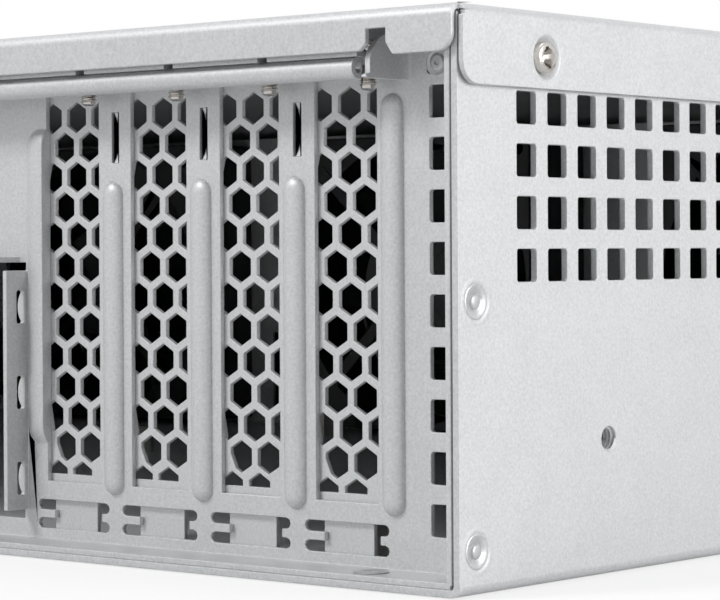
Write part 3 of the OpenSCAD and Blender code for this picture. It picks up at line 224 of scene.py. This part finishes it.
# %% Circuit board
def board_finish():
    made, tree, shader, coords = new_material("solder_mask_on_glass_fibre", Roughness=0.35)
    turned = add(tree, "ShaderNodeMapping", {"Vector": coords, "Rotation": (radians(90), 0, 0)})
    tracks = add(tree, "ShaderNodeTexBrick", {"Vector": turned.outputs["Vector"], "Scale": 1 / (12 * mm),
                                              "Color1": linear("#1E5236"), "Color2": linear("#24603F"),
                                              "Mortar": linear("#173F2B"), "Mortar Size": 0.03,
                                              "Brick Width": 1.6, "Row Height": 0.12})
    tree.links.new(tracks.outputs["Color"], shader.inputs["Base Color"])
    bump = add(tree, "ShaderNodeBump", {"Height": tracks.outputs["Fac"], "Strength": 0.2,
                                        "Distance": 0.03 * mm}, invert=True)
    tree.links.new(bump.outputs["Normal"], shader.inputs["Normal"])
    return made


board_green = board_finish()
print("made", board_green.name)

# %% [markdown]
# ## Which material each node wears
# The record names a material slot for every node. This table gives each slot its finish, and the
# body of each node comes from the record too, so that a new piece can ride where the node rides.

# %% Which material each node wears
finish_of_slot = {
    "galvanised_steel": galvanised, "nickel_plate": nickel, "black_paint": powder_coat,
    "aluminium_bar": anodised, "runner_plastic": nylon, "circuit_board": board_green,
    "black_plastic": black_abs, "fan_plastic": fan_plastic, "lever_plastic": grey_abs,
    "clear_lens": clear_lens,
}
slot_of = {p["node"]: p["material_slot"] for p in frame["record"]["subparts"]}
body_of = {n: b for b, ns in frame["record"]["behaviour"]["bodies"].items() for n in ns}
for name, node in frame["nodes"].items():
    node.data.materials.clear()
    node.data.materials.append(finish_of_slot[slot_of[name]])

# %% [markdown]
# ## From a bmesh to a piece
# Every new piece ends the same way: its mesh becomes an object at the origin, it gets the material
# of its slot or a material given to it, it rides on a body, and it may replace nodes. Weighted normals keep
# the big flat faces flat and let only the small edge faces turn the light.

# %% From a bmesh to a piece
def finish_piece(name, mesh, slot, body, replaces=(), material=None, weighted=True):
    data = bpy.data.meshes.new(name)
    for face in mesh.faces:
        face.smooth = True
    mesh.to_mesh(data)
    mesh.free()
    data.set_sharp_from_angle(angle=radians(50))
    piece = bpy.data.objects.new(name, data)
    bpy.context.scene.collection.objects.link(piece)
    data.materials.append(material or finish_of_slot[slot])
    if weighted:
        flat = piece.modifiers.new("flat_faces", "WEIGHTED_NORMAL")
        flat.keep_sharp = True
    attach(piece, body)
    if replaces:
        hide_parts(*replaces)
    return piece


print("pieces ride on bodies such as", sorted(set(body_of.values()))[:4])

# %% [markdown]
# ## Broken edges
# No punched or folded edge is razor sharp: the punch rolls it over by a tenth of a millimetre,
# and that tiny round catches the light as a bright line. The model's mesh is loose triangles, so
# a copy is merged and its flat faces are joined again, and then a bevel breaks the sharp edges.

# %% Broken edges
sharp_from = radians(32)
merge_mm = 0.002


def broken_edges(node, edge_mm):
    sheet = bmesh.new()
    sheet.from_mesh(frame["nodes"][node].data)
    bmesh.ops.remove_doubles(sheet, verts=sheet.verts, dist=merge_mm * mm)
    bmesh.ops.dissolve_limit(sheet, angle_limit=radians(0.5), verts=sheet.verts, edges=sheet.edges)
    sharp = [e for e in sheet.edges if len(e.link_faces) == 2 and e.calc_face_angle(0) > sharp_from]
    bmesh.ops.bevel(sheet, geom=sharp, offset=edge_mm * mm, offset_type="OFFSET", segments=1,
                    profile=0.5, affect="EDGES", clamp_overlap=False, material=-1)
    return sheet


edge_of_node = {"chassis_pan": 0.13, "rear_panel": 0.13, "lid": 0.15, "front_frame": 0.2,
                "cage_dividers": 0.15, "cage_top": 0.15, "fan_wall": 0.15, "psu_bracket": 0.15,
                "rack_ear_left": 0.3, "rack_ear_right": 0.3, "optical_bay_blank": 0.3,
                "backplane_connectors": 0.2, "tray_runners": 0.2, "usb_ports": 0.08}
edge_of_node.update({f"slot_cover_{k}": 0.1 for k in range(1, 5)})
edge_of_node.update({f"fan_frame_{k}": 0.4 for k in range(1, 4)})
edge_of_node.update({f"drive_tray_{k}": 0.35 for k in range(1, 9)})
edge_of_node.update({f"tray_lever_{k}": 0.35 for k in range(1, 9)})
for name, edge in edge_of_node.items():
    finish_piece(name + "_edged", broken_edges(name, edge), slot_of[name], body_of[name], replaces=[name])
print("broke the edges of", len(edge_of_node), "nodes")

# %% [markdown]
# ## Turned shapes, threads and cuts
# Screws, rivets and dimples are round, so each is a half outline turned about an axis, as on a
# lathe: spin does it. A thread is a small triangle that climbs while it goes round, and spin
# does that too when every step also moves along the axis. A cross recess has flat walls, so a
# Boolean cuts it out, and its result is read back into a mesh.

# %% Turned shapes, threads and cuts
round_steps = 48
thread_steps = 24


def turned(outline, closed=False):
    """A solid turned about z from (radius, height) points in millimetres."""
    made = bmesh.new()
    points = [made.verts.new((r * mm, 0, h * mm)) for r, h in outline]
    for a, b in zip(points, points[1:] + points[:1] if closed else points[1:]):
        made.edges.new((a, b))
    bmesh.ops.spin(made, geom=made.verts[:] + made.edges[:], cent=(0, 0, 0), axis=(0, 0, 1), angle=tau,
                   steps=round_steps, use_merge=True)
    bmesh.ops.remove_doubles(made, verts=made.verts, dist=0.001 * mm)
    bmesh.ops.recalc_face_normals(made, faces=made.faces)
    return made


def thread(root_mm, crest_mm, pitch_mm, start_mm, turns):
    """A helical ridge about z. With its crest inside its root it is the thread of a tapped hole."""
    made = bmesh.new()
    low, high = (start_mm - 0.42 * pitch_mm) * mm, (start_mm + 0.42 * pitch_mm) * mm
    corners = [(root_mm * mm, low), (crest_mm * mm, start_mm * mm), (root_mm * mm, high)]
    section = made.faces.new([made.verts.new((r, 0, h)) for r, h in corners])
    bmesh.ops.spin(made, geom=[section] + section.edges[:] + section.verts[:], cent=(0, 0, 0),
                   axis=(0, 0, 1), dvec=(0, 0, pitch_mm * mm / thread_steps), angle=tau * turns,
                   steps=thread_steps * turns)
    bmesh.ops.recalc_face_normals(made, faces=made.faces)
    return made


def combined(*parts):
    """One mesh of several, which are used up."""
    whole = bmesh.new()
    for part in parts:
        data = bpy.data.meshes.new("part")
        part.to_mesh(data)
        part.free()
        whole.from_mesh(data)
        bpy.data.meshes.remove(data)
    return whole


def cut(blank, cutter):
    """The blank with the cutter's shape taken out."""
    made = []
    for part in (blank, cutter):
        data = bpy.data.meshes.new("blank")
        part.to_mesh(data)
        part.free()
        made.append(bpy.data.objects.new("blank", data))
        bpy.context.scene.collection.objects.link(made[-1])
    boolean = made[0].modifiers.new("cut", "BOOLEAN")
    boolean.object = made[1]
    boolean.operation = "DIFFERENCE"
    boolean.solver = "EXACT"
    boolean.use_self = True
    ready = made[0].evaluated_get(bpy.context.evaluated_depsgraph_get())
    result = bmesh.new()
    result.from_mesh(ready.to_mesh())
    ready.to_mesh_clear()
    for shape in made:
        data = shape.data
        bpy.data.objects.remove(shape)
        bpy.data.meshes.remove(data)
    return result


def facing(place, direction, turn=0.0):
    """A transform that puts the origin at a place and turns z to a direction."""
    return (Matrix.Translation(place) @ Vector(direction).to_track_quat("Z", "Y").to_matrix().to_4x4()
            @ Matrix.Rotation(turn, 4, "Z"))


def copies(pattern, transforms):
    """The pattern repeated at each transform, as one mesh. The pattern is used up."""
    data = bpy.data.meshes.new("pattern")
    pattern.to_mesh(data)
    pattern.free()
    whole = bmesh.new()
    for transform in transforms:
        data.transform(transform)
        whole.from_mesh(data)
        data.transform(transform.inverted())
    bpy.data.meshes.remove(data)
    return whole


print("a turned piece has", round_steps, "sides")

# %% [markdown]
# ## Pan head screws
# The lid and the card covers are held by small pan head machine screws with a cross recess, cold
# headed from wire: a low domed head, a recess with four tapering wings and a deeper middle, and
# a rolled thread. The head and the core are turned, the recess is cut, the thread is added.

# %% Pan head screws
def cross_recess(top_mm, reach_mm, wing_mm, deep_mm):
    wings = []
    for turn in (0, tau / 4):
        wing = bmesh.new()
        bmesh.ops.create_cube(wing, size=1.0)
        bmesh.ops.scale(wing, vec=(2 * reach_mm * mm, wing_mm * mm, 2 * deep_mm * mm), verts=wing.verts)
        foot = [v for v in wing.verts if v.co.z < 0]
        bmesh.ops.scale(wing, vec=(0.4, 0.8, 1), verts=foot)
        bmesh.ops.transform(wing, verts=wing.verts,
                            matrix=Matrix.Translation((0, 0, top_mm * mm)) @ Matrix.Rotation(turn, 4, "Z"))
        wings.append(wing)
    middle = turned([(0, top_mm - 1.15 * deep_mm), (0.35 * reach_mm, top_mm - deep_mm),
                     (0.62 * reach_mm, top_mm + 0.1), (0, top_mm + 0.1)])
    return combined(wings[0], wings[1], middle)


def pan_head_screw(head_r, head_h, core_r, thread_r, pitch, length):
    """A screw along z with the underside of its head at z = 0."""
    body = turned([(0, -length), (0.6 * core_r, -length), (core_r, 0.3 - length), (core_r, 0),
                   (0.95 * head_r, 0), (head_r, 0.08 * head_h), (head_r, 0.5 * head_h),
                   (0.98 * head_r, 0.72 * head_h), (0.92 * head_r, 0.9 * head_h),
                   (0.82 * head_r, 0.97 * head_h), (0.6 * head_r, head_h), (0, head_h)])
    body = cut(body, cross_recess(head_h, 0.98 * head_r, 0.34 * head_r, 1.15 * head_h))
    turns = int((length - 1) / pitch)
    return combined(body, thread(core_r - 0.05, thread_r, pitch, 0.5 - length, turns))


lid_screw_ys = [inward(22.2), inward(238.3), inward(454.4)]
lid_screw_z = 80.8 * mm
lid_side = 216.3 * mm
dimple_deep = 1.0 * mm
lid_screw_places = [facing((side * (lid_side - dimple_deep), y, lid_screw_z), (side, 0, 0),
                           radians(12 + 31 * k))
                    for side in (-1, 1) for k, y in enumerate(lid_screw_ys)]
screws = copies(pan_head_screw(2.5, 1.3, 1.25, 1.5, 0.5, 5), lid_screw_places)
finish_piece("lid_screws_turned", screws, "nickel_plate", "lid", replaces=["lid_screws"])

slot_pitch = 20.32
slot_screw_xs = [across(21.25 + slot_pitch * k) for k in range(4)]
cover_tab_z = 81.9 * mm
slot_screw_places = [facing((x, inward(6.6), cover_tab_z), (0, 0, 1), radians(20 + 40 * k))
                     for k, x in enumerate(slot_screw_xs)]
screws = copies(pan_head_screw(2.7, 1.9, 1.1, 1.4, 0.65, 5.8), slot_screw_places)
finish_piece("slot_screws_turned", screws, "nickel_plate", "root", replaces=["slot_screws"])
print("turned", len(lid_screw_places) + len(slot_screw_places), "screws")

# %% [markdown]
# ## Dimples, rivets and tapped holes
# The lid is pressed in around each screw, so the sheet rolls over into a round dimple. The rivets
# are set flush: a ring with a small disc in its middle, in sheet that rises a little around it.
# The rail holes are plunged inwards to give the thread more steel, and their mouth is round.

# %% Dimples, rivets and tapped holes
dimple = turned([(4.6, -0.2), (4.6, 0.01), (4.1, 0.02), (3.75, -0.03), (3.45, -0.16), (3.2, -0.4),
                 (2.95, -0.72), (2.75, -0.9), (2.5, -0.97), (1.55, -0.97), (1.55, -1.5), (3.0, -1.5)],
                closed=True)
dimple_places = [facing((side * lid_side, y, lid_screw_z), (side, 0, 0))
                 for side in (-1, 1) for y in lid_screw_ys]
finish_piece("lid_dimples", copies(dimple, dimple_places), "galvanised_steel", "lid")

side_rivet = turned([(0, -3.1), (2.2, -3.1), (2.3, -3.0), (2.3, -2.5), (1.6, -2.5), (1.6, -1.2),
                     (2.72, -0.2), (2.72, -0.06), (2.62, 0.0), (2.45, 0.0), (1.45, -0.16), (1.3, -0.3),
                     (1.16, -0.3), (1.08, -0.1), (0.85, -0.02), (0, 0.0)])
rivet_places = [facing((side * half_w, inward(5.7), z * mm), (side, 0, 0))
                for side in (-1, 1) for z in (6.6, 43.75)]
ledge_rivet = turned([(0, 0), (1.6, 0), (1.6, 2.2), (2.7, 2.2), (2.8, 2.26), (2.8, 2.4), (2.65, 2.5),
                      (1.35, 2.5), (1.2, 2.38), (0, 2.4)])
ledge_rivet_pitch = 130.0667
ledge_places = [facing((across(19.9 + ledge_rivet_pitch * k), inward(5), 0), (0, 0, 1)) for k in range(4)]
rivets = combined(copies(side_rivet, rivet_places), copies(ledge_rivet, ledge_places))
finish_piece("panel_rivets_turned", rivets, "galvanised_steel", "root", replaces=["panel_rivets"],
             material=zinc_with_painted_shade)

rivet_lip = turned([(2.82, -0.4), (2.84, -0.1), (2.95, 0.03), (3.15, 0.07), (3.5, 0.04), (3.9, -0.01),
                    (3.9, -0.4)], closed=True)
finish_piece("rivet_lips", copies(rivet_lip, rivet_places), "galvanised_steel", "root")

hole_mouth = turned([(3.6, -0.3), (3.6, -0.01), (3.1, 0.02), (2.7, -0.01), (2.35, -0.12), (2.12, -0.35),
                     (2.0, -0.75), (1.98, -2.6), (2.5, -2.6), (2.5, -0.6)], closed=True)
tapped = combined(hole_mouth, thread(2.1, 1.68, 0.7, -2.3, 3))
rail_places = [facing((side * half_w, inward(40.2 + 180 * k), 21.5 * mm), (side, 0, 0))
               for side in (-1, 1) for k in range(3)]
finish_piece("rail_hole_threads", copies(tapped, rail_places), "galvanised_steel", "root")
print("set", len(rivet_places) + len(ledge_places), "rivets and", len(rail_places), "tapped holes")

# %% [markdown]
# ## Pressed ribs and the hook's screw
# The ribs between the card slots are pressed out of the panel and end in half domes. A rib is
# half a sphere at each end of a half round bar, flattened to its height. A small screw with a
# washer sits beside the lid hook.

# %% Pressed ribs and the hook's screw
panel_y = inward(10)


def pressed_rib(middle_mm, foot_mm, head_mm, width_mm, high_mm):
    """A flattened bar with round ends, half sunk in the panel."""
    rib = bmesh.new()
    bmesh.ops.create_uvsphere(rib, u_segments=40, v_segments=20, radius=width_mm / 2 * mm)
    bmesh.ops.bisect_plane(rib, geom=rib.verts[:] + rib.edges[:] + rib.faces[:], plane_co=(0, 0, 0),
                           plane_no=(0, 0, 1), clear_inner=True)
    rim = [e for e in rib.edges if e.is_boundary]
    reach = (head_mm - foot_mm - width_mm) / 2 * mm
    wall = bmesh.ops.extrude_edge_only(rib, edges=rim)
    foot = [v for v in wall["geom"] if isinstance(v, bmesh.types.BMVert)]
    bmesh.ops.translate(rib, verts=foot, vec=(0, 0, -reach))
    bmesh.ops.translate(rib, verts=rib.verts, vec=(0, 0, reach))
    bmesh.ops.mirror(rib, geom=rib.verts[:] + rib.edges[:] + rib.faces[:], axis="Z", merge_dist=0.01 * mm)
    bmesh.ops.remove_doubles(rib, verts=rib.verts, dist=merge_mm * mm)
    bmesh.ops.scale(rib, vec=(1, 2 * high_mm / width_mm, 1), verts=rib.verts)
    bmesh.ops.translate(rib, verts=rib.verts, vec=(across(middle_mm), panel_y, (foot_mm + head_mm) / 2 * mm))
    bmesh.ops.recalc_face_normals(rib, faces=rib.faces)
    return rib


skin = 0.06
rib_w = 4.2 + 2 * skin
rib_high = 1.3 + skin
ribs = [pressed_rib(19.3, 10.5 - skin, 75.6 + skin, rib_w, rib_high)]
ribs += [pressed_rib(39.45 + 20.25 * k, 10.6 - skin, 63.3 + skin, rib_w, rib_high) for k in range(3)]
finish_piece("pressed_ribs", combined(*ribs), "galvanised_steel", "root", weighted=False)

washer_screw = turned([(0, 0.02), (0.35, 0.02), (0.5, 0.25), (1.0, 0.3), (1.3, 0.2), (1.4, 0.02),
                       (1.75, 0.02), (2.0, 0.14), (2.2, 0.08), (2.25, -0.3), (0, -0.3)])
hook_screw_place = facing((across(10.4), panel_y, 80.1 * mm), (0, 1, 0))
# The screw's darker zinc finish is partly painted shade from the lid flange above it.
finish_piece("hook_side_screw", copies(washer_screw, [hook_screw_place]), "galvanised_steel", "root",
             material=zinc_with_painted_shade)
print("pressed", len(ribs), "ribs")

# %% [markdown]
# ## Floor, world and light
# The photograph is a plain studio shot on white. A pale floor carries the case, and the world is
# white to the camera and to reflections but dimmer as a light. A soft lamp hangs high behind the
# rear panel, so that the recess under the lid stays darker. A larger one stands low beside the
# side wall and a weak one hangs above, at a level where a colour shows about as written.

# %% Floor, world and light
floor_mesh = bmesh.new()
bmesh.ops.create_grid(floor_mesh, x_segments=1, y_segments=1, size=6.0)
floor_data = bpy.data.meshes.new("studio_floor")
floor_mesh.to_mesh(floor_data)
floor_mesh.free()
floor = bpy.data.objects.new("studio_floor", floor_data)
bpy.context.scene.collection.objects.link(floor)
floor.location.z = -0.2 * mm

floor_finish = bpy.data.materials.new("matt_white_floor")
floor_finish.use_nodes = True
tree = floor_finish.node_tree
tree.nodes.clear()
rays = add(tree, "ShaderNodeLightPath")
matt = add(tree, "ShaderNodeBsdfDiffuse", {"Color": linear("#F4F4F4")})
glow = add(tree, "ShaderNodeEmission", {"Color": (1, 1, 1, 1), "Strength": 1.0})
share = add(tree, "ShaderNodeMath", {0: rays.outputs["Is Camera Ray"], 1: 0.75}, operation="MULTIPLY")
mixed = add(tree, "ShaderNodeMixShader", {0: share.outputs[0], 1: matt.outputs[0], 2: glow.outputs[0]})
add(tree, "ShaderNodeOutputMaterial", {"Surface": mixed.outputs[0]})
floor_data.materials.append(floor_finish)

world = bpy.data.worlds.new("white_studio")
bpy.context.scene.world = world
world.use_nodes = True
tree = world.node_tree
tree.nodes.clear()
rays = add(tree, "ShaderNodeLightPath")
seen = add(tree, "ShaderNodeMath", {0: rays.outputs["Is Camera Ray"], 1: rays.outputs["Is Transmission Ray"]},
           operation="MAXIMUM")
seen = add(tree, "ShaderNodeMath", {0: seen.outputs[0], 1: rays.outputs["Is Glossy Ray"]},
           operation="MAXIMUM")
plain = add(tree, "ShaderNodeBackground", {"Color": (1, 1, 1, 1), "Strength": 0.2})
white = add(tree, "ShaderNodeBackground", {"Color": (1, 1, 1, 1), "Strength": 1.0})
mixed = add(tree, "ShaderNodeMixShader", {0: seen.outputs[0], 1: plain.outputs[0], 2: white.outputs[0]})
add(tree, "ShaderNodeOutputWorld", {"Surface": mixed.outputs[0]})


def soft_lamp(name, place, target, size, power):
    data = bpy.data.lights.new(name, "AREA")
    data.shape = "DISK"
    data.size = size
    data.energy = power
    lamp = bpy.data.objects.new(name, data)
    bpy.context.scene.collection.objects.link(lamp)
    lamp.location = place
    lamp.rotation_mode = "QUATERNION"
    lamp.rotation_quaternion = (Vector(target) - Vector(place)).to_track_quat("-Z", "Y")


corner = (-half_w, rear_y, 40 * mm)
soft_lamp("key", (0.45, 1.35, 1.2), corner, 0.5, 16)
soft_lamp("side", (-1.6, -0.15, 0.35), corner, 0.9, 15)
soft_lamp("top", (-0.2, 0.1, 1.6), corner, 1.0, 6)

# %% [markdown]
# ## The camera
# A pinhole camera was fitted to the long edges, the corner, the slots and the vents of the
# photograph. It stands 0.4 m from the corner, just over half the case's height, and looks level, turned
# 40 degrees from the rear panel. Its axis doesn't go through the middle of the picture, which a
# small shift gives.

# %% The camera
picture_w = 720
picture_h = 600
sensor_mm = 36
fit = {"f": 2708.18, "cx": 346.99, "cy": 257.91, "turn": radians(39.9894), "roll": radians(-0.3133),
       "pitch": radians(0.0753), "place": (-458.714 * mm, 582.148 * mm, 50.908 * mm)}
forward = Vector((sin(fit["turn"]), -cos(fit["turn"]), 0))
right = Vector((-cos(fit["turn"]), -sin(fit["turn"]), 0))
down = Vector((0, 0, -1))
down, forward = (down * cos(fit["pitch"]) - forward * sin(fit["pitch"]),
                 down * sin(fit["pitch"]) + forward * cos(fit["pitch"]))
right, down = (right * cos(fit["roll"]) - down * sin(fit["roll"]),
               right * sin(fit["roll"]) + down * cos(fit["roll"]))
camera_data = bpy.data.cameras.new("camera")
camera = bpy.data.objects.new("camera", camera_data)
bpy.context.scene.collection.objects.link(camera)
turned_to = Matrix((right, -down, -forward)).transposed().to_4x4()
camera.matrix_world = Matrix.Translation(fit["place"]) @ turned_to
camera_data.sensor_width = sensor_mm
camera_data.lens = fit["f"] / picture_w * sensor_mm
camera_data.shift_x = (picture_w / 2 - fit["cx"]) / picture_w
camera_data.shift_y = (fit["cy"] - picture_h / 2) / picture_w
camera_data.clip_start = 0.01
bpy.context.scene.camera = camera
bpy.context.scene.view_settings.view_transform = "Standard"
print("lens", round(camera_data.lens, 1), "mm")
